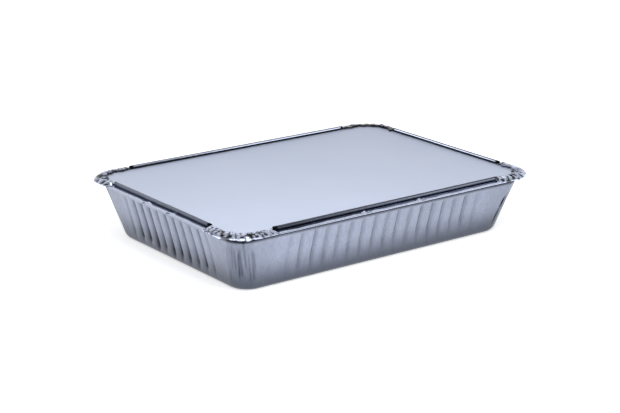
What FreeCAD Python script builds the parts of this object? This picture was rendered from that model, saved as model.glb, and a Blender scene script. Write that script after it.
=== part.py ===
import FreeCAD, Part
import math
import os
from collections import namedtuple

from FreeCAD import Vector

# Foil tray with a board lid held under its folded rim, in millimetres.
# X runs along the long sides and Y along the short sides, with Z up. The origin is
# under the middle of the base, on the surface that the tray stands on.
# An inset is a distance inwards from the folded edge of the rim, seen from above.

# Tray, measured over the folded edge of its rim
tray_length = 276.0
tray_width = 200.0
rim_corner_radius = 27.0
foil_thickness = 0.1

# Ledge that carries the lid, and the leaning walls under it
ledge_height = 43.9
ledge_width = 7.6
ledge_root_radius = 2.5
wall_lean = 12.2
wall_corner_radius = 14.0
base_corner_radius = 15.0
base_edge_radius = 5.0

# Upright flutes pressed into the walls
flute_pitch = 10.5
groove_width = 3.2
groove_depth = 1.1
rib_crown = 0.25
flute_foot_gap = 0.8
flute_fade = 4.0
flute_head_gap = 0.8
plain_end = 12.0

# Creases in the walls at the four corners
corner_crease_depth = 0.3

# Lid, and its room under the folded flap
board_thickness = 0.5
lid_edge_gap = 0.6
lid_face_gap = 0.05

# Flap folded over the lid, and the open bead rolled along its edge on each side
flap_width = 7.3
flap_rise = 0.3
bead_radius = 1.4
bead_turn = 245.0
bead_end_setback = 37.5

# Gathered flap at the corners, which stands up in pleats
pleat_height = 2.4
pleat_edge_height = 2.1
pleat_overhang = 2.2
pleat_nib = 1.2
pleat_flare = 0.5

# Flat facets that stand for the bends
corner_facets = 12
base_edge_facets = 3
ledge_root_facets = 2
fold_facets = 4
bead_facets = 10
pleat_facets_beside_corner = 3

# A node of the foil holds its place on the under face and on the upper face.
Node = namedtuple("Node", "under upper")

# A station is a place on the way round: a distance along one side, or a turn
# through the corner that follows that side. Its form says how far the foil is pressed.
Station = namedtuple("Station", "side along turn form")

# A level is one line of the section: its inset and height on the under face, the
# plan radius of its corners, and the step from there to the upper face.
Level = namedtuple("Level", "inset height radius step_in step_up")

SIDES = range(4)


def half_run(side):
    """Half of the tray's size along a side. Side 0 is the front, then round to the right."""
    return (tray_length if side % 2 == 0 else tray_width) / 2


def half_reach(side):
    """Distance from the middle of the tray to a side's folded edge."""
    return (tray_width if side % 2 == 0 else tray_length) / 2


def side_axes(side):
    """Directions along a side and out of it."""
    angle = math.radians(90 * side)
    along = Vector(math.cos(angle), math.sin(angle), 0)
    outwards = Vector(math.sin(angle), -math.cos(angle), 0)
    return along, outwards


def wall_radius(inset):
    """Plan radius of the corners at an inset, from the bend under the ledge to the base."""
    depth = inset - ledge_width
    if depth <= 0.0:
        return wall_corner_radius - depth
    if depth >= wall_lean:
        return base_corner_radius - (depth - wall_lean)
    return wall_corner_radius + (base_corner_radius - wall_corner_radius) * depth / wall_lean


def place(station, inset, radius, height):
    """Point at a station, on the rounded outline with this inset and corner radius."""
    along, outwards = side_axes(station.side)
    if station.turn is None:
        point = along * station.along + outwards * (half_reach(station.side) - inset)
    else:
        turn = math.radians(station.turn)
        centre = along * (half_run(station.side) - inset - radius)
        centre += outwards * (half_reach(station.side) - inset - radius)
        point = centre + (outwards * math.cos(turn) + along * math.sin(turn)) * radius
    return Vector(point.x, point.y, height)


def node(station, level, press=0.0, lift=0.0):
    """Node of the foil at a station of a level, pressed inwards and lifted there."""
    inset = level.inset + press
    radius = level.radius - press
    height = level.height + lift
    under = place(station, inset, radius, height)
    upper = place(station, inset + level.step_in, radius - level.step_in, height + level.step_up)
    return Node(under, upper)


def bend(before, corner, after, radius, facets):
    """Points of the section along the arc that rounds one of its corners."""
    arriving = (corner - before).normalize()
    leaving = (after - corner).normalize()
    turn = math.atan2(arriving.cross(leaving).z, arriving.dot(leaving))
    start = corner - arriving * (radius * math.tan(abs(turn) / 2))
    centre = start + Vector(-arriving.y, arriving.x, 0) * math.copysign(radius, turn)
    spin = FreeCAD.Rotation(Vector(0, 0, 1), math.degrees(turn) / facets)
    points = [start]
    for _ in range(facets):
        points.append(centre + spin.multVec(points[-1] - centre))
    return points


def section():
    """Levels of the foil, from the base round to the end of the bead, in five groups.

    The section is drawn with X as minus the inset, so it runs outwards and up, and
    the face that looks at the food and the lid lies on its left.
    """
    wall_head = Vector(-ledge_width, ledge_height - foil_thickness, 0)
    wall_foot = Vector(-ledge_width - wall_lean, 0, 0)
    middle = Vector(-tray_width / 2, 0, 0)
    room = board_thickness + lid_face_gap
    fold_radius = room / 2 + foil_thickness
    ledge_edge = Vector(-fold_radius, wall_head.y, 0)
    base_edge = bend(middle, wall_foot, wall_head, base_edge_radius, base_edge_facets)
    ledge_root = bend(wall_foot, wall_head, ledge_edge, ledge_root_radius, ledge_root_facets)

    flute_foot = base_edge[-1].y + flute_foot_gap
    flute_head = ledge_root[0].y - flute_head_gap
    flute_heights = [flute_foot, flute_foot + flute_fade, flute_head - flute_fade, flute_head]
    flutes = [wall_foot + (wall_head - wall_foot) * (height / wall_head.y) for height in flute_heights]

    fold = [
        ledge_edge + Vector(0, fold_radius, 0)
        + Vector(math.sin(math.pi * step / fold_facets), -math.cos(math.pi * step / fold_facets), 0) * fold_radius
        for step in range(fold_facets + 1)
    ]
    flap_end = Vector(-flap_width, fold[-1].y + flap_rise, 0)
    flap = [(fold[-1] + flap_end) * 0.5, flap_end]

    inner_radius = bead_radius - foil_thickness
    bead = []
    for step in range(1, bead_facets + 1):
        turn = math.radians(bead_turn * step / bead_facets)
        bead.append(flap_end + Vector(-math.sin(turn), 1 - math.cos(turn), 0) * inner_radius)

    wall = base_edge + flutes + ledge_root
    rim = fold + flap + bead
    radii = [wall_radius(-point.x) for point in wall]
    radii += [rim_corner_radius + point.x for point in rim]
    steps = offset_steps([middle] + wall + rim, foil_thickness)[1:]
    levels = [
        Level(-point.x, point.y, radius, -step.x, step.y)
        for point, radius, step in zip(wall + rim, radii, steps)
    ]
    groups = []
    for points in (base_edge, flutes, ledge_root, fold + flap, bead):
        groups.append(levels[:len(points)])
        levels = levels[len(points):]
    return groups


def offset_steps(points, distance):
    """Step from each point of a line to the line that runs at a distance on its left."""
    legs = [(end - start).normalize() for start, end in zip(points, points[1:])]
    normals = [Vector(-leg.y, leg.x, 0) for leg in legs]
    steps = []
    for before, after in zip(normals[:1] + normals, normals + normals[-1:]):
        steps.append((before + after) * (distance / (1 + before.dot(after))))
    return steps


def corner_stations(side, form):
    """Stations through one corner, with a form for each."""
    return [
        Station(side, None, 90.0 * step / corner_facets, form(step))
        for step in range(corner_facets + 1)
    ]


def plain_stations():
    """Stations of a smooth level: the corners alone."""
    return [station for side in SIDES for station in corner_stations(side, lambda step: 0.0)]


def flute_stations(side):
    """Stations across the flutes of one side: a groove bottom, its edges and the ribs."""
    straight = half_run(side) - ledge_width - wall_lean - base_corner_radius
    count = max(0, int((straight - plain_end) // flute_pitch))
    stations = []
    for groove in range(-count, count + 1):
        middle = groove * flute_pitch
        if groove > -count:
            stations.append(Station(side, middle - flute_pitch / 2, None, -rib_crown))
        stations.append(Station(side, middle - groove_width / 2, None, 0.0))
        stations.append(Station(side, middle, None, groove_depth))
        stations.append(Station(side, middle + groove_width / 2, None, 0.0))
    return stations


def fluted_stations():
    """Stations of a fluted level, with creases at the corners."""
    stations = []
    for side in SIDES:
        stations += flute_stations(side)
        stations += corner_stations(side, lambda step: corner_crease_depth * (step % 2))
    return stations


def pleat_stations(side):
    """Stations of the gathered flap round one corner, from bead end to bead end.

    Every second one stands up as a pleat.
    """
    after = (side + 1) % 4
    steps = pleat_facets_beside_corner
    length = bead_end_setback - rim_corner_radius
    bead_end = half_run(side) - bead_end_setback
    next_bead_end = -(half_run(after) - bead_end_setback)
    before_corner = [(side, bead_end + length * step / steps) for step in range(steps)]
    after_corner = [(after, next_bead_end - length * step / steps) for step in range(steps)]
    stations = [Station(at, along, None, None) for at, along in before_corner]
    stations += [
        Station(side, None, 90.0 * step / corner_facets, None) for step in range(corner_facets + 1)
    ]
    stations += [Station(at, along, None, None) for at, along in reversed(after_corner)]
    return [station._replace(form=float(number % 2)) for number, station in enumerate(stations)]


class Sheet:
    """One sheet of foil, as flat panels between nodes. It becomes a solid of two skins."""

    def __init__(self):
        self.panels = []

    def add(self, nodes):
        """Add a panel. A four-sided one that isn't flat is creased along its diagonal."""
        if len(nodes) == 4 and not self.is_flat(nodes):
            self.panels.append([nodes[0], nodes[1], nodes[2]])
            self.panels.append([nodes[0], nodes[2], nodes[3]])
        else:
            self.panels.append(list(nodes))

    def join(self, lower, upper):
        """Add the panels between two levels, given as a node for each station."""
        lower_places = {self.site(station): found for station, found in lower}
        upper_places = {self.site(station): found for station, found in upper}
        shared = [self.site(station) for station, _ in lower if self.site(station) in upper_places]
        for start, end in zip(shared, shared[1:] + shared[:1]):
            low = self.between(list(lower_places), start, end)
            high = self.between(list(upper_places), start, end)
            panel = [lower_places[site] for site in low]
            panel += [upper_places[site] for site in reversed(high)]
            self.add(panel)

    def solid(self):
        """Solid between the upper and the under skin, closed along the free edges."""
        faces = []
        edges = {}
        for panel in self.panels:
            faces.append(self.face([found.upper for found in panel]))
            faces.append(self.face([found.under for found in reversed(panel)]))
            for start, end in zip(panel, panel[1:] + panel[:1]):
                edges.setdefault(frozenset([self.key(start), self.key(end)]), []).append((start, end))
        for uses in edges.values():
            if len(uses) == 1:
                start, end = uses[0]
                faces += self.edge_faces(start, end)
        solid = Part.Solid(Part.Shell(faces))
        if solid.Volume < 0:
            solid.reverse()
        return solid

    @staticmethod
    def site(station):
        """What tells one station from another, whatever its form."""
        return (station.side, station.along, station.turn)

    @staticmethod
    def between(sites, start, end):
        """Sites from start to end, both included, going round."""
        first = sites.index(start)
        last = sites.index(end)
        if last <= first:
            last += len(sites)
        return [sites[number % len(sites)] for number in range(first, last + 1)]

    @staticmethod
    def key(found):
        """A node's place, rounded so that equal nodes compare as equal."""
        return tuple(round(value, 5) for value in found.under)

    @staticmethod
    def is_flat(nodes):
        """Whether four nodes lie in one plane on both skins."""
        for skin in ("under", "upper"):
            a, b, c, d = [getattr(found, skin) for found in nodes]
            if abs((b - a).cross(c - a).dot(d - a)) > 1e-7:
                return False
        return True

    @staticmethod
    def face(points):
        """Flat face through the points."""
        return Part.Face(Part.makePolygon(points + points[:1]))

    def edge_faces(self, start, end):
        """Two triangles that close the foil's thickness along a free edge."""
        return [
            self.face([start.under, end.under, end.upper]),
            self.face([start.under, end.upper, start.upper]),
        ]


def ring(stations, level, pressed=False):
    """Node for each station of a level."""
    return [(at, node(at, level, press=at.form if pressed else 0.0)) for at in stations]


def pleat_shape(station, number, level):
    """How far a pleated level is flared outwards and lifted at a station.

    The pleats open like a fan from the outermost line of the fold, which is level
    number fold_facets / 2 of its group.
    """
    outermost = fold_facets // 2
    if number < outermost:
        return 0.0, 0.0
    on_arc = station.turn is not None and 0.0 < station.turn < 90.0
    flare = pleat_flare if on_arc and number == outermost else 0.0
    lift = pleat_height * level.inset / flap_width
    return -flare * station.form, lift * station.form


def pleat_edge(station, level):
    """Node at the ragged inner edge of the gathered flap."""
    reach = pleat_nib + (pleat_overhang - pleat_nib) * station.form
    edge = level._replace(inset=level.inset + reach, radius=level.radius - reach)
    return node(station, edge, lift=pleat_edge_height * station.form)


def add_walls(sheet, base_edge, flutes, ledge_root):
    """Base, rounded base edge, fluted walls and the bend at their head."""
    plain = plain_stations()
    fluted = fluted_stations()
    rings = [ring(plain, level) for level in base_edge]
    rings.append(ring(fluted, flutes[0]))
    rings += [ring(fluted, level, pressed=True) for level in flutes[1:-1]]
    rings.append(ring(fluted, flutes[-1]))
    rings += [ring(plain, level) for level in ledge_root]
    sheet.add([found for _, found in rings[0]])
    for lower, upper in zip(rings, rings[1:]):
        sheet.join(lower, upper)
    return rings[-1]


def add_rim(sheet, wall_head, fold):
    """Ledge, fold and flap, which is gathered in pleats at each corner."""
    corners = [pleat_stations(side) for side in SIDES]
    rings = []
    for number, level in enumerate(fold):
        pleated = []
        for stations in corners:
            for station in stations:
                press, lift = pleat_shape(station, number, level)
                pleated.append((station, node(station, level, press, lift)))
        rings.append(pleated)
    for lower, upper in zip([wall_head] + rings, rings):
        sheet.join(lower, upper)

    for stations in corners:
        last = [found for station, found in rings[-1] if station in stations]
        inner = [pleat_edge(station, fold[-1]) for station in stations[1:-1]]
        inner = [last[0]] + inner + [last[-1]]
        for number in range(1, len(last) - 2):
            sheet.add([last[number], last[number + 1], inner[number + 1], inner[number]])
        sheet.add([last[0], last[1], inner[1]])
        sheet.add([last[-2], last[-1], inner[-2]])


def add_bead(sheet, side, flap_end, bead):
    """Bead rolled up and back outwards along the flap's edge on one side."""
    end = half_run(side) - bead_end_setback
    stations = [Station(side, -end, None, 0.0), Station(side, end, None, 0.0)]
    lines = [[node(station, level) for station in stations] for level in [flap_end] + bead]
    for lower, upper in zip(lines, lines[1:]):
        sheet.add(lower + upper[::-1])


def foil_tray():
    """The tray: one sheet from the base to the bead."""
    base_edge, flutes, ledge_root, fold, bead = section()
    sheet = Sheet()
    wall_head = add_walls(sheet, base_edge, flutes, ledge_root)
    add_rim(sheet, wall_head, fold)
    for side in SIDES:
        add_bead(sheet, side, fold[-1], bead)
    return sheet.solid()


def board_lid():
    """The lid: a flat board with rounded corners that lies on the ledge."""
    outline = []
    for side in SIDES:
        turns = [Station(side, None, turn, 0.0) for turn in (0.0, 45.0, 90.0)]
        radius = rim_corner_radius - lid_edge_gap
        arc = [place(turn, lid_edge_gap, radius, ledge_height) for turn in turns]
        if outline:
            outline.append(Part.LineSegment(outline[-1].EndPoint, arc[0]))
        outline.append(Part.Arc(*arc))
    outline.append(Part.LineSegment(outline[-1].EndPoint, outline[0].StartPoint))
    wire = Part.Wire([curve.toShape() for curve in outline])
    return Part.Face(wire).extrude(Vector(0, 0, board_thickness))


os.makedirs("parts", exist_ok=True)
for name, shape in (("foil_tray", foil_tray()), ("board_lid", board_lid())):
    box = shape.BoundBox
    print(f"{name}: valid {shape.isValid()}, {len(shape.Faces)} faces, volume {shape.Volume:.1f} mm3, "
          f"{box.XLength:.2f} x {box.YLength:.2f} x {box.ZLength:.2f} mm from z {box.ZMin:.2f}")
    shape.exportStep(f"parts/{name}.step")
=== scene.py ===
"""Looks of an aluminium foil tray whose board lid is held under the folded rim.

X runs along the long sides and Y along the short sides, with Z up. Lengths are in
metres. Small sizes are given in millimetres and turned by mm().
"""

import bisect
import logging
import random
from dataclasses import dataclass
from enum import Enum
from math import atan2, cos, exp, pi, radians, sin, tan
from typing import Any, Iterable, NamedTuple

import bpy
from bpy.types import Material, Mesh, Node, NodeSocket, NodeTree, Object
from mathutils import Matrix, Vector, noise


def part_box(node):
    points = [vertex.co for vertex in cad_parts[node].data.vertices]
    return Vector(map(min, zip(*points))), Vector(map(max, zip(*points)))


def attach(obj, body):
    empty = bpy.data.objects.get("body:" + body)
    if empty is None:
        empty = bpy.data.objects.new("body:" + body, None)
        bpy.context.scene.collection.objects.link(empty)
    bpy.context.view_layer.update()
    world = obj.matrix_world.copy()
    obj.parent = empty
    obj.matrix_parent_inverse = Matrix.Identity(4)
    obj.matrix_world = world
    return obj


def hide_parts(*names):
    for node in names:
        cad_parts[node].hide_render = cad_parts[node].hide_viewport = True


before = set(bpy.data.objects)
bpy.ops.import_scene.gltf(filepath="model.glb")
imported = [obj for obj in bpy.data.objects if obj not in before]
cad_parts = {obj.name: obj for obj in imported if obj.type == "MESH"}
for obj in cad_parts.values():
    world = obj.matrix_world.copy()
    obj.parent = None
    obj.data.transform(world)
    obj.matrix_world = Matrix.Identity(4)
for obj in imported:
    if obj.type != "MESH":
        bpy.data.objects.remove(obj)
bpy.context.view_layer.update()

log = logging.getLogger("foil_tray")

BODY = "root"
# Name of the point attribute that holds the painted shade.
PAINTED_SHADE = "painted_shade"

# Numbers of a mix node's colour sockets: the two inputs and the output.
BLEND_FROM, BLEND_TO, BLEND_RESULT = 6, 7, 2

# X, Y and Z.
Place = tuple[float, float, float]


def mm(value: float) -> float:
    """Millimetres to metres."""
    return value / 1000.0


def linear(code: str) -> tuple[float, float, float, float]:
    """Turns an sRGB hex colour to the linear colour that a shader takes.

    Args:
        code: Six hex digits, with or without a leading hash.

    Returns:
        Linear red, green and blue, with an alpha of one.
    """
    digits = code.lstrip("#")
    shares = [int(digits[at:at + 2], 16) / 255.0 for at in (0, 2, 4)]
    red, green, blue = [c / 12.92 if c <= 0.04045 else ((c + 0.055) / 1.055) ** 2.4 for c in shares]
    return red, green, blue, 1.0


def smooth(value: float, start: float, end: float) -> float:
    """Eases from 0 at start to 1 at end, and stays there beyond them."""
    share = min(1.0, max(0.0, (value - start) / (end - start)))
    return share * share * (3.0 - 2.0 * share)


@dataclass(frozen=True)
class Ease:
    """An amount that eases in as a value goes from start to end, up or down."""

    start: float
    end: float
    amount: float = 1.0

    def at(self, value: float) -> float:
        """The amount's share at a value."""
        return self.amount * smooth(value, self.start, self.end)


def add_object(name: str, data: bpy.types.ID) -> Object:
    """Makes an object of a mesh, lamp or camera, and links it to the scene."""
    made = bpy.data.objects.new(name, data)
    bpy.context.scene.collection.objects.link(made)
    return made


def snap(place: float) -> float:
    """Rounds a place to a tenth of a micrometre, so that equal places are found once."""
    return round(place, 7)


def add_node(tree: NodeTree, kind: str, settings: dict[Any, Any] | None = None,
             links: dict[Any, NodeSocket] | None = None) -> Node:
    """Adds one shader node with its settings and links.

    Args:
        tree: The node tree that gets the node.
        kind: Blender's name for the node's class, after ShaderNode.
        settings: Values by input name, input number or property name.
        links: Sockets to link from, by input name or input number.

    Returns:
        The new node.
    """
    made = tree.nodes.new("ShaderNode" + kind)
    for name, value in (settings or {}).items():
        if isinstance(name, int) or name in made.inputs:
            made.inputs[name].default_value = value
        else:
            setattr(made, name, value)
    for name, source in (links or {}).items():
        tree.links.new(source, made.inputs[name])
    return made


def add_noise(tree: NodeTree, place: NodeSocket, length: float, detail: float, roughness: float = 0.5,
              distortion: float = 0.0) -> NodeSocket:
    """Adds noise with waves of one length, and returns the socket of its value."""
    settings = {"Scale": 1.0 / length, "Detail": detail, "Roughness": roughness, "Distortion": distortion}
    return add_node(tree, "TexNoise", settings, {"Vector": place}).outputs["Fac"]


def add_math(tree: NodeTree, operation: str, first: NodeSocket, second: NodeSocket | float) -> NodeSocket:
    """Adds a calculation with two sockets, or a socket and a number, and returns its socket."""
    if isinstance(second, float):
        return add_node(tree, "Math", {"operation": operation, 1: second}, {0: first}).outputs["Value"]
    return add_node(tree, "Math", {"operation": operation}, {0: first, 1: second}).outputs["Value"]


def add_surface(tree: NodeTree, settings: dict[str, Any], colour: NodeSocket, roughness: NodeSocket,
                normal: NodeSocket) -> None:
    """Adds the principled shader of a material, and its output."""
    links = {"Base Color": colour, "Roughness": roughness, "Normal": normal}
    shader = add_node(tree, "BsdfPrincipled", settings, links)
    add_node(tree, "OutputMaterial", {}, {"Surface": shader.outputs["BSDF"]})


def new_material(name: str) -> tuple[Material, NodeTree]:
    """Makes a material with an empty node tree, and returns both."""
    made = bpy.data.materials.new(name)
    made.use_nodes = True
    made.node_tree.nodes.clear()
    return made, made.node_tree


class Side(Enum):
    """The four sides, in the order that the rim is walked in."""

    FRONT = 0
    RIGHT = 1
    BACK = 2
    LEFT = 3

    @property
    def along(self) -> Vector:
        """Direction in which the side is walked."""
        angle = radians(90 * self.value)
        return Vector((round(cos(angle)), round(sin(angle)), 0.0))

    @property
    def outwards(self) -> Vector:
        """Direction out of the side."""
        return Vector((self.along.y, -self.along.x, 0.0))

    @property
    def is_long(self) -> bool:
        """Whether the side is one of the two long ones."""
        return self in (Side.FRONT, Side.BACK)

    @property
    def following(self) -> "Side":
        """The side after the next corner."""
        return Side((self.value + 1) % 4)


class Zone(Enum):
    """The stretches of the foil's section, from the base to the flap's edge."""

    BASE = "base"
    WALL = "wall"
    LEDGE = "ledge"
    FOLD = "fold"
    FLAP = "flap"


class Station(NamedTuple):
    """A place on the way round the tray.

    A station on a side has a distance along it, and one in the corner after that
    side has a turn in degrees. The band is the distance from the bead's end into
    the gathered corner, or None between the two ends of a bead.
    """

    side: Side
    along: float | None
    turn: float | None
    band: float | None


@dataclass(frozen=True)
class Level:
    """A line of the section: inset from the rim's edge, height, plan radius of its corners and zone."""

    inset: float
    height: float
    radius: float
    zone: Zone


@dataclass(frozen=True)
class RolledFoil:
    """Half-hard aluminium foil, cold rolled and then pressed.

    Rolling leaves a satin silver, and drawing it down the die leaves faint upright
    streaks, so the metal shows broad soft highlights with a fine grain in them. A
    painted shade, held in a point attribute, mixes the silver towards near black where
    shade falls: over the walls, most at their foot, under the ledge, on the fold, along
    the grooves and creases, in the corner folds and in and under the bead.
    """

    silver: str = "#DEE7FF"
    dull: str = "#CFD9F3"
    # Near black that the painted shade mixes in.
    painted_shade_colour: str = "#12141B"
    roughness: float = 0.24
    rim_shine: float = 0.36
    rim_height: float = mm(44.0)
    rim_blend: float = mm(0.6)
    streak: float = mm(1.3)
    streak_stretch: float = 0.06
    wrinkle: float = mm(9.0)

    def material(self) -> Material:
        """Builds the material of the foil."""
        made, tree = new_material("rolled_aluminium_foil")
        place = add_node(tree, "NewGeometry").outputs["Position"]
        upright = add_node(
            tree, "VectorMath", {"operation": "MULTIPLY", 1: (1.0, 1.0, self.streak_stretch)}, {0: place}
        )
        streaks = add_noise(tree, upright.outputs["Vector"], self.streak, 3.0, roughness=0.6)
        wrinkles = add_noise(tree, place, self.wrinkle, 3.0, distortion=0.4)
        sheen = add_node(tree, "MapRange", {"From Min": 0.35, "From Max": 0.65}, {"Value": streaks})
        plain = add_node(
            tree, "Mix", {"data_type": "RGBA", BLEND_FROM: linear(self.silver), BLEND_TO: linear(self.dull)},
            {0: sheen.outputs["Result"]},
        )
        # Painted shade: the point attribute mixes the streaked silver towards near black.
        painted_shade = add_node(tree, "Attribute", {"attribute_name": PAINTED_SHADE}).outputs["Fac"]
        tone = add_node(
            tree, "Mix", {"data_type": "RGBA", BLEND_TO: linear(self.painted_shade_colour)},
            {0: painted_shade, BLEND_FROM: plain.outputs[BLEND_RESULT]},
        )
        least, most = 0.85 * self.roughness, 1.2 * self.roughness
        rough = add_node(
            tree, "MapRange", {"From Min": 0.3, "From Max": 0.7, "To Min": least, "To Max": most},
            {"Value": wrinkles},
        )
        height = add_node(tree, "SeparateXYZ", {}, {"Vector": place}).outputs["Z"]
        start, end = self.rim_height, self.rim_height + self.rim_blend
        folded = add_node(
            tree, "MapRange", {"From Min": start, "From Max": end, "To Min": 1.0, "To Max": self.rim_shine},
            {"Value": height},
        )
        satin = add_math(tree, "MULTIPLY", rough.outputs["Result"], folded.outputs["Result"])
        streak_bump = add_node(tree, "Bump", {"Strength": 0.06, "Distance": mm(0.05)}, {"Height": streaks})
        wrinkle_bump = add_node(
            tree, "Bump", {"Strength": 0.25, "Distance": mm(0.4)},
            {"Height": wrinkles, "Normal": streak_bump.outputs["Normal"]},
        )
        metal = {"Metallic": 1.0}
        add_surface(tree, metal, tone.outputs[BLEND_RESULT], satin, wrinkle_bump.outputs["Normal"])
        return made


@dataclass(frozen=True)
class CoatedBoard:
    """Folding boxboard, clay coated and calendered.

    The coating hides the fibres, so the lid is an even pale blue-white with a soft
    sheen and only a faint mottle.
    """

    white: str = "#C7D0E4"
    shade: str = "#BFC9DF"
    roughness: float = 0.42
    mottle: float = mm(1.2)
    cloud: float = mm(60.0)

    def material(self) -> Material:
        """Builds the material of the lid."""
        made, tree = new_material("clay_coated_boxboard")
        place = add_node(tree, "NewGeometry").outputs["Position"]
        fibres = add_noise(tree, place, self.mottle, 5.0, roughness=0.6)
        clouds = add_noise(tree, place, self.cloud, 2.0)
        tone = add_node(
            tree, "Mix", {"data_type": "RGBA", BLEND_FROM: linear(self.white), BLEND_TO: linear(self.shade)},
            {0: clouds},
        )
        rough = add_node(
            tree, "MapRange", {"To Min": 0.9 * self.roughness, "To Max": 1.1 * self.roughness},
            {"Value": fibres},
        )
        bump = add_node(tree, "Bump", {"Strength": 0.08, "Distance": mm(0.05)}, {"Height": fibres})
        gloss = {"IOR": 1.5, "Specular IOR Level": 0.2}
        add_surface(tree, gloss, tone.outputs[BLEND_RESULT], rough.outputs["Result"], bump.outputs["Normal"])
        return made


@dataclass(frozen=True)
class StudioPaper:
    """Matt background paper, plain and white.

    A faint glow that the camera and reflections see lifts the open paper to pure
    white, and the shadow under the tray stays.
    """

    white: str = "#F6F7FA"
    glow: float = 0.64

    def material(self) -> Material:
        """Builds the material of the floor and the backdrop."""
        made, tree = new_material("studio_paper")
        paper = add_node(
            tree, "BsdfPrincipled",
            {"Base Color": linear(self.white), "Roughness": 0.9, "Specular IOR Level": 0.1},
        )
        path = add_node(tree, "LightPath").outputs
        mirrored = add_math(tree, "MAXIMUM", path["Is Glossy Ray"], path["Is Transmission Ray"])
        seen = add_math(tree, "MAXIMUM", path["Is Camera Ray"], mirrored)
        strength = add_math(tree, "MULTIPLY", seen, self.glow)
        light = add_node(tree, "Emission", {"Color": linear("#FFFFFF")}, {"Strength": strength})
        both = add_node(tree, "AddShader", {}, {0: paper.outputs["BSDF"], 1: light.outputs["Emission"]})
        add_node(tree, "OutputMaterial", {}, {"Surface": both.outputs["Shader"]})
        return made


@dataclass(frozen=True)
class Waves:
    """Smooth noise through space, with waves of one length and height."""

    length: float
    height: float
    shift: Place = (0.0, 0.0, 0.0)

    def rise(self, place: Vector) -> float:
        """Height of the waves at a place, above or below nought."""
        return self.height * noise.noise(place * (1.0 / self.length) + Vector(self.shift))


@dataclass(frozen=True)
class Groove:
    """One groove between two ribs of a wall, or one crease of a corner, with its own errors.

    Middle and width are lengths for a groove and degrees of turn for a crease. The
    sway is how far the middle moves for each metre of height, in the same unit.
    """

    middle: float
    depth: float
    width: float
    foot: float
    head: float
    foot_fade: float
    head_fade: float
    sway: float
    # Weight of the painted shade that the groove puts along its depth.
    shade_paint: float = 1.0

    def share(self, along: float, height: float) -> float:
        """How far the groove is open at a place on its side, from 0 to 1."""
        rise = smooth(height, self.foot, self.foot + self.foot_fade)
        fall = smooth(height, self.head, self.head - self.head_fade)
        reach = (along - self.middle - self.sway * (height - self.foot)) / self.width
        return rise * fall * exp(-reach * reach)


@dataclass(frozen=True)
class CornerLook:
    """How coarse the folds of one gathered corner are, and how much painted shade its folds and ragged edge
    get.
    """

    fold_scale: float
    fold_painted_shade: float
    edge_painted_shade: float


@dataclass(frozen=True)
class PaintedShadeLevels:
    """How much painted shade each stretch of the foil gets, from 0 for none to 1 for black.

    It stands for the shade that falls on the walls, most at their foot, corners and
    ends, under the ledge, on the fold, in the grooves, creases and corner folds and in
    and under the bead. On the flap it is taken off the nicks' crests, which then shine
    as a painted highlight. Shares ease in with the height on the walls, the raggedness
    of a corner's fold, the rise of a nick, the inset on the flap, the bead's turn and
    the distance from the bead's end.
    """

    base: float = 0.65
    wall: float = 0.59
    wall_foot: Ease = Ease(mm(26.0), 0.0, 0.28)
    corner: float = 0.06
    corner_middle: float = 0.07
    beside_corner: float = 0.06
    wall_head: Ease = Ease(mm(38.0), mm(39.2), 0.25)
    head_bend: Ease = Ease(mm(39.5), mm(40.3), 0.3)
    grooves: float = 0.3
    ledge: float = 0.9
    # The front side's fold gets less painted shade than the others.
    front_fold: float = 0.2
    fold: float = 0.4
    corner_fold: Ease = Ease(0.4, 0.75, 0.8)
    flap: Ease = Ease(mm(0.3), 0.0, 0.36)
    flap_edge: Ease = Ease(mm(6.3), mm(7.3), 0.1)
    bead_root: Ease = Ease(108.0, 96.0)
    bead: Ease = Ease(138.0, 156.0, 0.8)
    bead_lip: Ease = Ease(303.0, 323.0)
    bead_mouth: Ease = Ease(mm(3.0), mm(2.0))


@dataclass(frozen=True)
class Folds:
    """A family of sharp folds across the gathered foil, with flat facets between them.

    Each knot is a place along the gathered band and the foil's height there, from 0
    to 1. The slant is how far the folds run along the band for each step inwards.
    """

    slant: float
    knots: tuple[tuple[float, float], ...]

    def rise(self, band: float, inset: float) -> float:
        """Height of the facets, from 0 to 1, at a place on the gathered band."""
        at = band - self.slant * inset
        after = bisect.bisect([place for place, _ in self.knots], at)
        if after == 0 or after == len(self.knots):
            return self.knots[min(after, len(self.knots) - 1)][1]
        (start, low), (end, high) = self.knots[after - 1], self.knots[after]
        return low + (high - low) * (at - start) / (end - start)


@dataclass(frozen=True)
class Nick:
    """A small slanted crease across the flap of one side."""

    side: Side
    along: float
    slant: float
    width: float = mm(1.8)
    height: float = mm(0.7)

    def rise(self, side: Side, along: float, inset: float) -> float:
        """Height of the crease at a place on the flap."""
        if side is not self.side:
            return 0.0
        offset = abs(along - self.along - self.slant * inset)
        return self.height * max(0.0, 1.0 - offset / self.width)


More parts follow.
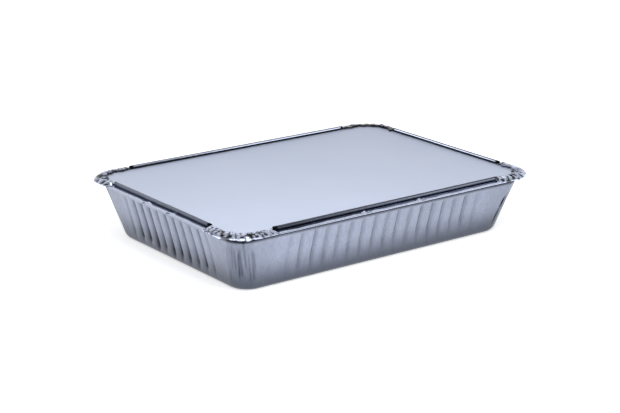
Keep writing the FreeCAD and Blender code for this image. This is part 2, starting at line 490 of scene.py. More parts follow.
class Sheet:
    """The foil's under skin, as points, faces and the painted shade of each point."""

    def __init__(self) -> None:
        """Starts with no points."""
        self.points: list[Vector] = []
        self.painted_shade: list[float] = []
        self.faces: list[tuple[int, ...]] = []
        self.crumpled: set[int] = set()

    def row(self, places: Iterable[tuple[Vector, float]]) -> list[int]:
        """Adds a row of points with their painted shade, and returns their numbers."""
        first = len(self.points)
        for point, painted_shade in places:
            self.points.append(point)
            self.painted_shade.append(min(1.0, max(0.0, painted_shade)))
        return list(range(first, len(self.points)))

    def strips(self, rows: list[list[int]], closed: bool) -> None:
        """Adds the four-sided faces between rows of the same length.

        Args:
            rows: Numbers of each row's points, from the base on.
            closed: Whether the rows run all the way round.
        """
        count = len(rows[0])
        for lower, upper in zip(rows, rows[1:]):
            for at in range(count if closed else count - 1):
                after = (at + 1) % count
                self.faces.append((lower[at], lower[after], upper[after], upper[at]))

    def bridge(self, lower: dict[Station, int], upper: dict[Station, int]) -> None:
        """Adds flat faces between two rings that share only some stations."""
        low_sites, high_sites = list(lower), list(upper)
        shared = [site for site in low_sites if site in upper]
        for start, end in zip(shared, shared[1:] + shared[:1]):
            low = [lower[site] for site in self.between(low_sites, start, end)]
            high = [upper[site] for site in self.between(high_sites, start, end)]
            self.faces.append(tuple(low + high[::-1]))

    @staticmethod
    def between(sites: list[Station], start: Station, end: Station) -> list[Station]:
        """Sites from start to end, both included, going round."""
        first, last = sites.index(start), sites.index(end)
        if last <= first:
            last += len(sites)
        return [sites[number % len(sites)] for number in range(first, last + 1)]

    def mesh(self, name: str) -> Mesh:
        """Turns the skin into a mesh with its painted shade, smooth but for the crumpled faces."""
        made = bpy.data.meshes.new(name)
        made.from_pydata([point[:] for point in self.points], [], self.faces)
        made.attributes.new(PAINTED_SHADE, "FLOAT", "POINT").data.foreach_set("value", self.painted_shade)
        made.shade_smooth()
        for face in made.polygons:
            face.use_smooth = not self.crumpled.issuperset(face.vertices)
        made.update()
        return made


@dataclass
class FoilTray:
    """The tray: one pressed sheet of foil from the base to the bead.

    Overall sizes come from the solid's box and the lid's box. The rest are the sizes
    of the section and of the pattern pressed into it, with turns and angles in
    degrees and samples in millimetres. The corner looks belong to the corners after
    the front, right, back and left side.
    """

    rim_corner_radius: float = mm(27.0)
    foil: float = mm(0.1)
    ledge_width: float = mm(7.6)
    ledge_root_radius: float = mm(2.5)
    wall_lean: float = mm(12.2)
    wall_corner_radius: float = mm(14.0)
    base_corner_radius: float = mm(15.0)
    base_edge_radius: float = mm(5.0)
    lid_face_gap: float = mm(0.05)
    flap_width: float = mm(7.3)
    flap_rise: float = mm(0.3)
    bead_radius: float = mm(1.38)
    bead_lip: float = 315.0
    bead_curl: float = 60.0
    bead_core: float = 0.62
    bead_end_setback: float = mm(37.5)
    flute_pitch: float = mm(10.5)
    groove_depth: float = mm(1.1)
    groove_width: float = mm(1.9)
    rib_crown: float = mm(0.25)
    rib_foot: float = mm(10.0)
    rib_head: float = mm(36.0)
    flute_foot: float = mm(4.5)
    flute_head: float = mm(41.0)
    flute_fade: float = mm(4.0)
    long_fade: float = mm(13.0)
    long_depth: float = 0.8
    # Weights of the painted shade in the grooves of long and short sides and in the corners' creases.
    long_painted_shade: float = 0.5
    short_painted_shade: float = 0.8
    faint_depth: float = 0.5
    crease_painted_shade: float = 1.8
    plain_end: float = mm(12.0)
    pleat_height: float = mm(1.5)
    crumple_height: float = mm(0.8)
    gather_height: float = mm(2.6)
    gather_start: Ease = Ease(0.0, mm(1.2))
    gather_open: float = 0.5
    gather_curve: float = 0.8
    facet_share: float = 0.72
    # Painted shade in the hollows between a corner's folds, where shade falls.
    hollow: Ease = Ease(0.74, 0.62)
    ragged_least: float = mm(0.5)
    ragged_reach: float = mm(3.0)
    ragged_drop: float = 0.3
    corner_looks: tuple[CornerLook, ...] = (
        CornerLook(1.2, 0.05, 0.7), CornerLook(1.7, 0.7, 1.0),
        CornerLook(1.2, 0.2, 0.8), CornerLook(1.1, 0.0, 0.1),
    )
    corner_start: Ease = Ease(0.0, 25.0)
    corner_flare: Ease = Ease(mm(4.0), mm(1.0), mm(1.1))
    corner_droop: Ease = Ease(mm(3.2), mm(1.2), mm(1.1))
    droop_height: float = mm(0.6)
    ledge_wobble: Ease = Ease(mm(3.2), mm(1.0))
    flap_lift: Ease = Ease(mm(6.4), mm(4.6))
    flap_start: Ease = Ease(mm(0.4), mm(2.5))
    flap_waves: Waves = Waves(mm(11.0), mm(0.16), (4.0, 1.0, 8.0))
    rim_waves: Waves = Waves(mm(38.0), mm(0.45), (9.0, 2.0, 5.0))
    rim_clearance: float = mm(0.02)
    wall_waves: tuple[Waves, ...] = (Waves(mm(26.0), mm(0.3)), Waves(mm(9.0), mm(0.06), (3.1, 7.7, 1.3)))
    waves_foot: Ease = Ease(0.0, mm(6.0))
    waves_head: Ease = Ease(mm(42.0), mm(36.0))
    nicks: tuple[Nick, ...] = (
        Nick(Side.LEFT, mm(-15.6), 1.1), Nick(Side.LEFT, mm(16.0), 0.9),
        Nick(Side.FRONT, mm(-22.0), -1.0), Nick(Side.FRONT, mm(28.0), -0.9),
    )
    dents: tuple[tuple[Side, Groove], ...] = (
        (Side.FRONT, Groove(10.0, mm(0.9), 3.0, mm(19.0), mm(30.0), mm(4.0), mm(3.0), 0.0, 2.5)),
        (Side.FRONT, Groove(3.0, mm(0.3), 3.5, mm(5.0), mm(20.0), mm(6.0), mm(4.0), 300.0)),
        (Side.BACK, Groove(79.0, mm(0.55), 4.0, mm(33.0), mm(41.0), mm(3.0), mm(3.0), 0.0, 3.0)),
    )
    groove_samples: tuple[float, ...] = (0.6, 1.2, 1.8, 2.6, 3.8)
    nick_samples: tuple[float, ...] = (-1.6, -0.8, 0.0, 0.8, 1.6)
    mouth_samples: tuple[float, ...] = (2.0, 3.0)
    plain_pitch: float = mm(4.4)
    wall_corner_samples: int = 36
    rim_corner_samples: int = 72
    beside_corner_samples: int = 15
    wall_samples: int = 12
    head_shares: tuple[float, ...] = (0.896, 0.936, 0.955)
    base_edge_steps: int = 6
    ledge_root_steps: int = 3
    fold_steps: int = 6
    flap_steps: int = 8
    bead_turns: tuple[float, ...] = (
        20, 45, 70, 90, *range(100, 161, 10), 175, *range(190, 291, 20), 303, 313, 323, 345,
        *range(370, 521, 30), 560, 600,
    )
    sharp_angle: float = 32.0
    # How much painted shade each stretch of the foil gets.
    shade_paint: PaintedShadeLevels = PaintedShadeLevels()
    finish: RolledFoil = RolledFoil()
    seed: int = 7

    def __post_init__(self) -> None:
        """Reads the overall sizes and draws the errors of grooves, creases and folds."""
        low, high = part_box("foil_tray")
        lid_low, lid_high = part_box("board_lid")
        self.half_length = (high.x - low.x) / 2
        self.half_width = (high.y - low.y) / 2
        self.ledge_height = lid_low.z
        self.board = lid_high.z - lid_low.z
        self.draw = random.Random(self.seed)
        self.grooves = {side: self.draw_grooves(side) for side in Side}
        self.creases = {side: self.draw_creases(side) for side in Side}
        self.pleats = {side: self.draw_folds(side, 1.3, 3.2, 0.5, True) for side in Side}
        self.crumples = {
            side: [self.draw_folds(side, 1.2, 3.2, slant, False) for slant in (1.5, -1.2, 3.5)]
            for side in Side
        }
        self.ragged = {side: self.draw_folds(side, 0.8, 2.2, 0.0, False) for side in Side}

    def half_run(self, side: Side) -> float:
        """Half of the tray's size along a side."""
        return self.half_length if side.is_long else self.half_width

    def half_reach(self, side: Side) -> float:
        """Distance from the middle of the tray to a side's folded edge."""
        return self.half_width if side.is_long else self.half_length

    def base_corner_start(self, side: Side) -> float:
        """Distance along a side at which the base's rounded corner starts."""
        return self.half_run(side) - self.ledge_width - self.wall_lean - self.base_corner_radius

    def groove_count(self, side: Side) -> int:
        """Number of grooves on each side of the one in the middle."""
        return int((self.base_corner_start(side) - self.plain_end) // self.flute_pitch)

    def bead_end(self, side: Side) -> float:
        """Distance along a side at which the bead ends."""
        return self.half_run(side) - self.bead_end_setback

    def band_length(self) -> float:
        """Length of the gathered band at a corner, along the rim's edge."""
        beside = self.bead_end_setback - self.rim_corner_radius
        return 2 * beside + self.rim_corner_radius * pi / 2

    def draw_grooves(self, side: Side) -> list[Groove]:
        """Draws the grooves of one side. The outermost are faint, and long sides have shallow ones."""
        count, draw = self.groove_count(side), self.draw.uniform
        grooves = []
        for number in range(-count, count + 1):
            deep = self.groove_depth * (self.faint_depth if abs(number) == count else 1.0)
            grooves.append(Groove(
                middle=number * self.flute_pitch + mm(draw(-0.3, 0.3)),
                depth=deep * draw(0.8, 1.1) * (self.long_depth if side.is_long else 1.0),
                width=self.groove_width * draw(0.85, 1.15),
                foot=self.flute_foot + mm(draw(-0.5, 2.0)),
                head=self.flute_head + mm(draw(-1.0, 0.3)),
                foot_fade=self.long_fade if side.is_long else self.flute_fade,
                head_fade=self.flute_fade,
                sway=draw(-0.012, 0.012),
                shade_paint=self.long_painted_shade if side.is_long else self.short_painted_shade,
            ))
        return grooves

    def draw_creases(self, side: Side) -> list[Groove]:
        """Draws the upright creases of one corner, from one end of its turn to the other."""
        creases, draw = [], self.draw.uniform
        turn = draw(4.0, 9.0)
        while turn < 87.0:
            creases.append(Groove(
                middle=turn,
                depth=mm(draw(0.104, 0.39)),
                width=draw(2.25, 4.125),
                foot=mm(draw(1.0, 16.0)),
                head=mm(draw(30.0, 43.5)),
                foot_fade=mm(draw(5.0, 10.0)),
                head_fade=mm(draw(4.0, 8.0)),
                sway=draw(-120.0, 120.0),
                shade_paint=self.crease_painted_shade,
            ))
            turn += draw(7.0, 13.0)
        return creases + [dent for corner, dent in self.dents if corner is side]

    def draw_folds(self, side: Side, shortest: float, longest: float, slant: float, alternate: bool) -> Folds:
        """Draws one family of folds of a corner.

        Args:
            side: The side before the corner.
            shortest: Least distance between two folds, in millimetres.
            longest: Greatest distance between two folds, in millimetres.
            slant: Greatest slant of the folds, or their slant if they don't alternate.
            alternate: Whether high and low folds take turns, as pleats do.

        Returns:
            The folds, which reach past both ends of the band.
        """
        scale, draw = self.corner_looks[side.value].fold_scale, self.draw.uniform
        margin = mm(25.0)
        at, knots = -margin, []
        while at < self.band_length() + margin:
            height = draw(0.0, 1.0)
            if alternate:
                height = draw(0.6, 1.0) if len(knots) % 2 else draw(0.0, 0.15)
            knots.append((at, height))
            at += mm(scale * draw(shortest, longest))
        return Folds(draw(-slant, slant) if alternate else slant, tuple(knots))

    def wall_stations(self) -> list[Station]:
        """Stations of the walls all the way round, closest together across the grooves."""
        found: list[Station] = []
        offsets = [self.flute_pitch / 2] + [mm(sample) for sample in self.groove_samples]
        for side in Side:
            count = self.groove_count(side)
            places = set()
            for number in range(-count, count + 1):
                middle = number * self.flute_pitch
                places |= {snap(middle), *(snap(middle + offset) for offset in offsets)}
                places |= {snap(middle - offset) for offset in offsets}
            plain = (count + 0.5) * self.flute_pitch + self.plain_pitch
            while plain < self.base_corner_start(side) - mm(1.0):
                places |= {snap(plain), snap(-plain)}
                plain += self.plain_pitch
            found += [Station(side, along, None, None) for along in sorted(places)]
            found += [
                Station(side, None, 90.0 * number / self.wall_corner_samples, None)
                for number in range(self.wall_corner_samples + 1)
            ]
        return found

    def rim_stations(self) -> list[Station]:
        """Stations of the rim all the way round, closest together at the gathered corners."""
        found: list[Station] = []
        step = self.flute_pitch / 4
        for side in Side:
            end = self.bead_end(side)
            count = int(end // step)
            places = {snap(number * step) for number in range(-count, count + 1)}
            for nick in self.nicks:
                if nick.side is side:
                    places |= {snap(nick.along + mm(offset)) for offset in self.nick_samples}
            inside = [along for along in places if abs(along) < end - mm(3.4)]
            inside += [sign * (end - mm(before)) for sign in (-1, 1) for before in self.mouth_samples]
            found.append(Station(side, -end, None, None))
            found += [Station(side, along, None, None) for along in sorted(inside)]
            found += self.corner_stations(side)
        return found

    def corner_stations(self, side: Side) -> list[Station]:
        """Stations of the gathered band after a side, from one bead end to the last before the next."""
        beside = self.bead_end_setback - self.rim_corner_radius
        found = []
        for number in range(self.beside_corner_samples):
            band = beside * number / self.beside_corner_samples
            found.append(Station(side, self.bead_end(side) + band, None, band))
        for number in range(self.rim_corner_samples + 1):
            share = number / self.rim_corner_samples
            band = beside + share * self.rim_corner_radius * pi / 2
            found.append(Station(side, None, 90.0 * number / self.rim_corner_samples, band))
        after = side.following
        start = -(self.half_run(after) - self.rim_corner_radius)
        for number in range(1, self.beside_corner_samples):
            step = beside * number / self.beside_corner_samples
            band = self.band_length() - beside + step
            found.append(Station(after, start + step, None, band))
        return found

    def wall_radius(self, inset: float) -> float:
        """Plan radius of the corners at an inset, from the bend under the ledge to the base."""
        depth = inset - self.ledge_width
        if depth <= 0.0:
            return self.wall_corner_radius - depth
        if depth >= self.wall_lean:
            return max(mm(0.8), self.base_corner_radius - (depth - self.wall_lean))
        growth = self.base_corner_radius - self.wall_corner_radius
        return self.wall_corner_radius + growth * depth / self.wall_lean

    def wall_levels(self) -> list[Level]:
        """Lines of the section, from inside the base to the bend under the ledge."""
        under_ledge = self.ledge_height - self.foil
        lean = atan2(self.wall_lean, under_ledge)
        swing = pi / 2 - lean
        foot_inset = self.ledge_width + self.wall_lean
        setback = self.base_edge_radius * tan(swing / 2)
        line = [(foot_inset + setback + extra, 0.0, Zone.BASE) for extra in (mm(8.0), mm(3.0))]
        for step in range(self.base_edge_steps + 1):
            angle = swing * step / self.base_edge_steps
            inset = foot_inset + setback - self.base_edge_radius * sin(angle)
            line.append((inset, self.base_edge_radius * (1.0 - cos(angle)), Zone.WALL))
        wall_start = line[-1][1]
        root_setback = self.ledge_root_radius * tan(swing / 2)
        wall_end = under_ledge - root_setback * cos(lean)
        shares = [step / self.wall_samples for step in range(1, self.wall_samples + 1)]
        for share in sorted(shares + list(self.head_shares)):
            height = wall_start + (wall_end - wall_start) * share
            line.append((self.ledge_width + self.wall_lean * (1.0 - height / under_ledge), height, Zone.WALL))
        for step in range(1, self.ledge_root_steps + 1):
            angle = swing * (1.0 - step / self.ledge_root_steps)
            inset = self.ledge_width - root_setback + self.ledge_root_radius * sin(angle)
            height = under_ledge - self.ledge_root_radius * (1.0 - cos(angle))
            line.append((inset, height, Zone.WALL if step < self.ledge_root_steps else Zone.LEDGE))
        return [Level(inset, height, self.wall_radius(inset), zone) for inset, height, zone in line]

    def rim_levels(self) -> list[Level]:
        """Lines of the section, from the ledge round the fold to the flap's edge."""
        under_ledge = self.ledge_height - self.foil
        fold_radius = (self.board + self.lid_face_gap) / 2 + self.foil
        line = [(inset, under_ledge, Zone.LEDGE) for inset in (mm(3.2), mm(1.2))]
        for step in range(self.fold_steps + 1):
            angle = pi * step / self.fold_steps
            height = under_ledge + fold_radius * (1.0 - cos(angle))
            line.append((fold_radius * (1.0 - sin(angle)), height, Zone.FOLD))
        for step in range(1, self.flap_steps + 1):
            share = step / self.flap_steps
            height = under_ledge + 2 * fold_radius + self.flap_rise * share
            line.append((fold_radius + (self.flap_width - fold_radius) * share, height, Zone.FLAP))
        return [Level(inset, height, self.rim_corner_radius - inset, zone) for inset, height, zone in line]

    def point(self, station: Station, level: Level, press: float = 0.0, lift: float = 0.0) -> Vector:
        """Point of a level at a station, pressed inwards and lifted there.

        Args:
            station: Where on the way round.
            level: The line of the section.
            press: Extra distance inwards, which keeps the corner's centre.
            lift: Extra height.

        Returns:
            The point, in the part's frame.
        """
        side = station.side
        if station.turn is None:
            flat = side.along * station.along + side.outwards * (self.half_reach(side) - level.inset - press)
        else:
            turn = radians(station.turn)
            centre = side.along * (self.half_run(side) - level.inset - level.radius)
            centre += side.outwards * (self.half_reach(side) - level.inset - level.radius)
            spoke = side.outwards * cos(turn) + side.along * sin(turn)
            flat = centre + spoke * (level.radius - press)
        return Vector((flat.x, flat.y, level.height + lift))

    def wall_place(self, station: Station, level: Level) -> tuple[Vector, float]:
        """Point of the base or wall, with its grooves, creases and waves, and its painted shade."""
        look, height = self.shade_paint, level.height
        if level.zone is not Zone.WALL:
            return self.point(station, level), look.base
        # Painted shade: the walls darken towards their corners and the ends beside them, towards the foot,
        # under the ledge and along the grooves and creases.
        if station.turn is None:
            start = self.base_corner_start(station.side)
            shade = look.beside_corner * smooth(abs(station.along), start - self.plain_end, start)
            press, painted_shade = self.grooved(self.grooves[station.side], station.along, height)
            press -= self.crown(station, height)
        else:
            shade = look.corner + look.corner_middle * sin(radians(2 * station.turn))
            press, painted_shade = self.grooved(self.creases[station.side], station.turn, height)
        press += self.wall_wave(self.point(station, level))
        # What the corners add to the painted shade fades out towards the foot, where the foot's own painted
        # shade grows.
        foot = look.wall_foot.at(height)
        shade *= 1.0 - foot / look.wall_foot.amount
        shade += look.wall + foot + look.wall_head.at(height) + look.head_bend.at(height)
        return self.point(station, level, press), shade + look.grooves * painted_shade

    def grooved(self, grooves: list[Groove], at: float, height: float) -> tuple[float, float]:
        """Depth that grooves or creases press into the wall at a place, and their painted shade there."""
        depths = [groove.depth * groove.share(at, height) for groove in grooves]
        painted_shade = sum(groove.shade_paint * depth for groove, depth in zip(grooves, depths))
        return sum(depths), painted_shade / self.groove_depth

    def crown(self, station: Station, height: float) -> float:
        """How far the rib between two grooves stands out of the wall at a station."""
        last = (self.groove_count(station.side) + 0.5) * self.flute_pitch
        within = smooth(abs(station.along), last, last - self.flute_pitch)
        within *= smooth(height, self.flute_foot, self.rib_foot)
        within *= smooth(height, self.flute_head, self.rib_head)
        wave = cos(2 * pi * station.along / self.flute_pitch)
        return self.rib_crown * within * 0.5 * (1.0 - wave)

    def wall_wave(self, place: Vector) -> float:
        """Slow unevenness of the pressed foil, which stretches its reflections."""
        share = self.waves_foot.at(place.z) * self.waves_head.at(place.z)
        return share * sum(waves.rise(place) for waves in self.wall_waves)

    def rim_wobble(self, place: Vector) -> float:
        """How far the rim strays inwards from its outline, in plan."""
        waves = self.rim_waves
        flat = Vector((place.x, place.y, 0.0))
        return self.rim_clearance + max(0.0, 0.35 * waves.height + 0.65 * waves.rise(flat))

    def flap_wave(self, place: Vector) -> float:
        """Slow rise and fall of the flap, which breaks up its reflections."""
        inset = min(self.half_length - abs(place.x), self.half_width - abs(place.y))
        waves = self.flap_waves
        return self.flap_start.at(inset) * (0.5 * waves.height + waves.rise(place))

    def corner_of(self, station: Station) -> Side:
        """The side whose following corner a gathered station belongs to."""
        if station.turn is not None or station.along > 0:
            return station.side
        return Side((station.side.value + 3) % 4)

    def gather(self, station: Station, inset: float) -> tuple[float, float]:
        """Height of the gathered foil above the flap at a corner, and its painted shade, darkest in the
        hollows between the folds.
        """
        if not station.band:
            return 0.0, 0.0
        corner = self.corner_of(station)
        band = station.band
        ends = self.gather_start.at(band) * self.gather_start.at(self.band_length() - band)
        pleat = self.pleats[corner].rise(band, inset)
        crumple = sum(folds.rise(band, inset) for folds in self.crumples[corner])
        opened = min(1.0, inset / (self.gather_open * self.flap_width)) ** self.gather_curve
        facets = self.pleat_height * pleat + self.crumple_height * crumple
        rise = ends * opened * min(self.gather_height, self.facet_share * facets)
        # Painted shade in the hollows between the folds.
        hollow = self.hollow.at(facets / self.gather_height)
        return rise, ends * (hollow + self.corner_looks[corner.value].fold_painted_shade)

    def corner_share(self, station: Station) -> float:
        """How far a station is into a corner's arc, from 0 at its ends to 1."""
        if not station.band or station.turn is None:
            return 0.0
        return self.corner_start.at(min(station.turn, 90.0 - station.turn))

    def droop(self, station: Station, level: Level) -> float:
        """How far the underside of a corner's rim hangs down at a station."""
        under = self.ledge_height - self.foil
        low = smooth(level.height, under + self.droop_height, under)
        hang = self.crumples[self.corner_of(station)][1].rise(station.band or 0.0, 0.0)
        return self.corner_share(station) * self.corner_droop.at(level.inset) * low * hang

    def flare(self, station: Station, level: Level) -> float:
        """How far the folds of a corner's rim spread outwards at a station."""
        corner, band = self.corner_of(station), station.band or 0.0
        spread = 0.6 * self.pleats[corner].rise(band, 0.0) + 0.4 * self.crumples[corner][0].rise(band, 0.0)
        return self.corner_share(station) * self.corner_flare.at(level.inset) * spread

    def rim_place(self, station: Station, level: Level) -> tuple[Vector, float]:
        """Point of the ledge, fold or flap with its wobble and gathering, and its painted shade."""
        look, place = self.shade_paint, self.point(station, level)
        press = self.rim_wobble(place)
        if level.zone is Zone.LEDGE:
            press *= self.ledge_wobble.at(level.inset)
            # Painted shade under the ledge.
            return self.point(station, level, press, -self.droop(station, level)), look.ledge
        press -= self.flare(station, level)
        if level.zone is Zone.FOLD:
            # Painted shade on the fold, less on the front side's than on the others, and at the corners more
            # where the fold is ragged.
            painted_shade = look.front_fold if station.side is Side.FRONT else look.fold
            if station.band:
                painted_shade = look.corner_fold.at(self.ragged[self.corner_of(station)].rise(station.band, 0.0))
            return self.point(station, level, press, -self.droop(station, level)), painted_shade
        if station.band is not None:
            lift, painted_shade = self.gather(station, level.inset)
            return self.point(station, level, press, lift), painted_shade
        # Painted shade over the flap and towards the bead; it is taken off the nicks' crests, which shine as
        # a painted highlight beside the light that the raised crests really catch.
        nick = sum(nick.rise(station.side, station.along, level.inset) for nick in self.nicks)
        lift = (nick + self.flap_wave(place)) * self.flap_lift.at(level.inset)
        return self.point(station, level, press, lift), look.flap.at(nick) + look.flap_edge.at(level.inset)

    def add_ragged_edge(self, sheet: Sheet, stations: list[Station], flap_edge: list[int], side: Side,
                        edge: Level) -> None:
        """Adds the ragged inner edge of the gathered flap at the corner after a side.

        Args:
            sheet: The sheet that gets the points and faces.
            stations: The rim's stations.
            flap_edge: Numbers of the flap's edge points, one for each station.
            side: The side before the corner.
            edge: The level of the flap's edge.
        """
        start = stations.index(Station(side, self.bead_end(side), None, 0.0))
        size = 2 * self.beside_corner_samples + self.rim_corner_samples
        numbers = [(start + step) % len(stations) for step in range(1, size)]
        rows = [[flap_edge[number] for number in numbers]]
        for share in (0.4, 0.75, 1.0):
            places = []
            for number in numbers:
                station = stations[number]
                ragged = self.ragged[side].rise(station.band, 0.0)
                inset = edge.inset + share * (self.ragged_least + self.ragged_reach * ragged)
                lift, painted_shade = self.gather(station, inset)
                level = Level(inset, edge.height, self.rim_corner_radius - inset, Zone.FLAP)
                lift *= 1.0 - self.ragged_drop * share
                # Painted shade grows towards the ragged edge.
                painted_shade += share * self.corner_looks[side.value].edge_painted_shade
                places.append((self.point(station, level, 0.0, lift), painted_shade))
            rows.append(sheet.row(places))
            sheet.crumpled.update(rows[-1])
        sheet.strips(rows, closed=False)

    def add_bead(self, sheet: Sheet, stations: list[Station], flap_edge: list[int], side: Side) -> None:
        """Adds the bead along one side, with open ends.

        The foil is rolled up and back outwards to a lip, and then on inside itself.
        Painted shade darkens the bead where it meets the flap, over its outer side and behind the lip, and a
        ring of it darkens each end, so the bead's open side and ends are dark.

        Args:
            sheet: The sheet that gets the points and faces.
            stations: The rim's stations.
            flap_edge: Numbers of the flap's edge points, one for each station.
            side: The side that the bead runs along.
        """
        look = self.shade_paint
        end = self.bead_end(side) + mm(0.01)
        numbers = [
            at for at, station in enumerate(stations)
            if station.side is side and station.along is not None and abs(station.along) <= end
        ]
        radius = self.bead_radius - self.foil
        rows = [[flap_edge[number] for number in numbers]]
        bases = [sheet.points[number] for number in rows[0]]
        # Painted shade at the bead's open ends.
        mouths = [look.bead_mouth.at(end - abs(stations[number].along)) for number in numbers]
        for turn in self.bead_turns:
            curl = smooth(turn, self.bead_lip, self.bead_lip + self.bead_curl)
            reach = radius * (1.0 - (1.0 - self.bead_core) * curl)
            inwards = reach * sin(radians(turn))
            lift = radius - reach * cos(radians(turn))
            step_out = side.outwards * -inwards + Vector((0.0, 0.0, lift))
            # Painted shade by the bead's turn: where it meets the flap, over its outer side and behind the
            # lip.
            painted_shade = look.bead_root.at(turn) + look.bead.at(turn) + look.bead_lip.at(turn)
            rows.append(sheet.row((base + step_out, painted_shade + dark) for base, dark in zip(bases, mouths)))
        sheet.strips(rows, closed=False)

    def sheet(self) -> Sheet:
        """Builds the whole sheet: base, walls, rim, ragged corners and beads."""
        made = Sheet()
        wall_stations, rim_stations = self.wall_stations(), self.rim_stations()
        levels = self.wall_levels()
        walls = [made.row(self.wall_place(station, level) for station in wall_stations) for level in levels]
        made.faces.append(tuple(reversed(walls[0])))
        made.strips(walls, closed=True)
        levels = self.rim_levels()
        rim = [made.row(self.rim_place(station, level) for station in rim_stations) for level in levels]
        made.bridge(
            {station._replace(band=None): number for station, number in zip(wall_stations, walls[-1])},
            {station._replace(band=None): number for station, number in zip(rim_stations, rim[0])},
        )
        made.strips(rim, closed=True)
        for level, row in zip(levels, rim):
            if level.zone is not Zone.LEDGE:
                made.crumpled.update(number for station, number in zip(rim_stations, row) if station.band)
        for side in Side:
            self.add_ragged_edge(made, rim_stations, rim[-1], side, levels[-1])
            self.add_bead(made, rim_stations, rim[-1], side)
        return made

    def build(self) -> Object:
        """Makes the tray, gives it the foil's thickness and finish, and seats it."""
        mesh = self.sheet().mesh("foil_tray_sheet")
        mesh.materials.append(self.finish.material())
        mesh.set_sharp_from_angle(angle=radians(self.sharp_angle))
        tray = add_object("pressed_foil_tray", mesh)
        thickness = tray.modifiers.new("foil_thickness", "SOLIDIFY")
        thickness.thickness = self.foil
        thickness.offset = -1.0
        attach(tray, BODY)
        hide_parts("foil_tray")
        return tray


@dataclass
class BoardLid:
    """The lid: the flat board of the solid, with its coated finish."""

    finish: CoatedBoard = CoatedBoard()

    def dress(self) -> Object:
        """Gives the lid its finish."""
        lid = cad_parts["board_lid"]
        material = self.finish.material()
        for slot in lid.material_slots:
            slot.material = material
        return lid


@dataclass(frozen=True)
class PhotoCamera:
    """The camera, placed where the photograph was taken from."""

    azimuth: float = -36.74
    elevation: float = 17.14
    distance: float = 1.3025
    target: Place = (0.0379, 0.0523, 0.0)
    focal_pixels: float = 1655.4
    image_width: float = 620.0
    sensor: float = 36.0

    def build(self) -> Object:
        """Makes the camera and sets it as the scene's own."""
        turn, rise = radians(self.azimuth), radians(self.elevation)
        back = Vector((sin(turn) * cos(rise), -cos(turn) * cos(rise), sin(rise)))
        data = bpy.data.cameras.new("photo_camera")
        data.sensor_width = self.sensor
        data.lens = self.focal_pixels / self.image_width * self.sensor
        camera = add_object("photo_camera", data)
        camera.location = Vector(self.target) + back * self.distance
        camera.rotation_euler = (-back).to_track_quat("-Z", "Y").to_euler()
        bpy.context.scene.camera = camera
        return camera


@dataclass(frozen=True)
class Softbox:
    """A square softbox that hangs at a place and faces a target, with a power in watts."""

    name: str
    place: Place
    target: Place
    size: float
    power: float

    def hang(self) -> None:
        """Hangs the lamp in the scene."""
        light = bpy.data.lights.new(self.name, "AREA")
        light.shape = "SQUARE"
        light.size = self.size
        light.energy = self.power
        lamp = add_object(self.name, light)
        lamp.location = self.place
        lamp.rotation_euler = (Vector(self.target) - lamp.location).to_track_quat("-Z", "Y").to_euler()


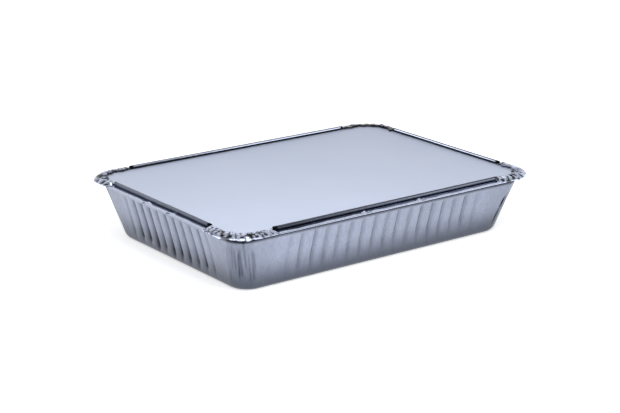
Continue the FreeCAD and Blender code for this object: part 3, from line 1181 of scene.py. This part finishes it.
@dataclass
class Studio:
    """A pale paper floor under soft light from above and from the sides."""

    floor_size: float = 8.0
    backdrop_distance: float = 2.4
    backdrop_height: float = 1.9
    wall_light: float = 0.26
    ceiling_light: float = 0.64
    wall_top: float = 32.0
    ceiling_edge: float = 62.0
    facing: float = PhotoCamera.azimuth
    lamps: tuple[Softbox, ...] = (
        Softbox("front_softbox", (-0.14, -0.22, 0.39), (-0.04, -0.04, 0.04), 0.30, 1.2),
        Softbox("right_softbox", (0.85, -0.75, 0.42), (0.05, 0.0, 0.02), 0.55, 1.8),
        Softbox("left_softbox", (-0.45, 0.80, 0.46), (0.0, 0.0, 0.04), 0.35, 0.7),
    )
    finish: StudioPaper = StudioPaper()

    def build(self) -> None:
        """Lays the floor and the backdrop, lights the world and hangs the lamps."""
        paper = self.finish.material()
        half = self.floor_size / 2
        floor = [(-half, -half, 0.0), (half, -half, 0.0), (half, half, 0.0), (-half, half, 0.0)]
        self.lay_paper("paper_floor", floor, paper)
        self.lay_paper("paper_backdrop", self.backdrop_corners(), paper)
        self.light_world()
        for lamp in self.lamps:
            lamp.hang()

    def backdrop_corners(self) -> list[Place]:
        """Corners of the upright paper behind the tray, square to the camera."""
        turn = radians(self.facing)
        away = Vector((-sin(turn), cos(turn), 0.0)) * self.backdrop_distance
        across = Vector((cos(turn), sin(turn), 0.0)) * self.floor_size / 2
        top = Vector((0.0, 0.0, self.backdrop_height))
        return [tuple(away + place) for place in (-across, across, across + top, -across + top)]

    @staticmethod
    def lay_paper(name: str, corners: list[Place], paper: Material) -> None:
        """Lays one sheet of background paper.

        Args:
            name: The sheet's name.
            corners: Its four corners, in order.
            paper: Its material.
        """
        mesh = bpy.data.meshes.new(name)
        mesh.from_pydata(corners, [], [(0, 1, 2, 3)])
        mesh.materials.append(paper)
        add_object(name, mesh)

    def light_world(self) -> None:
        """Lights the world from overhead, with the studio's dark walls near the horizon."""
        world = bpy.data.worlds.new("studio_air")
        world.use_nodes = True
        tree = world.node_tree
        tree.nodes.clear()
        place = add_node(tree, "TexCoord").outputs["Generated"]
        rise = add_node(tree, "SeparateXYZ", {}, {"Vector": place}).outputs["Z"]
        shares = {
            "interpolation_type": "SMOOTHSTEP",
            "From Min": sin(radians(self.wall_top)), "From Max": sin(radians(self.ceiling_edge)),
            "To Min": self.wall_light, "To Max": self.ceiling_light,
        }
        strength = add_node(tree, "MapRange", shares, {"Value": rise}).outputs["Result"]
        air = add_node(tree, "Background", {"Color": linear("#FFFFFF")}, {"Strength": strength})
        add_node(tree, "OutputWorld", {}, {"Surface": air.outputs["Background"]})
        bpy.context.scene.world = world


def main() -> None:
    """Builds the camera, the studio, the tray and the lid, and reports each."""
    logging.basicConfig(level=logging.INFO, format="%(name)s: %(message)s")
    bpy.context.scene.view_settings.view_transform = "Standard"
    camera = PhotoCamera().build()
    log.info("camera at %s", [round(value, 3) for value in camera.location])
    Studio().build()
    log.info("studio built")
    tray = FoilTray().build()
    log.info("tray has %d faces", len(tray.data.polygons))
    lid = BoardLid().dress()
    log.info("lid %s dressed", lid.name)


if __name__ == "__main__":
    main()
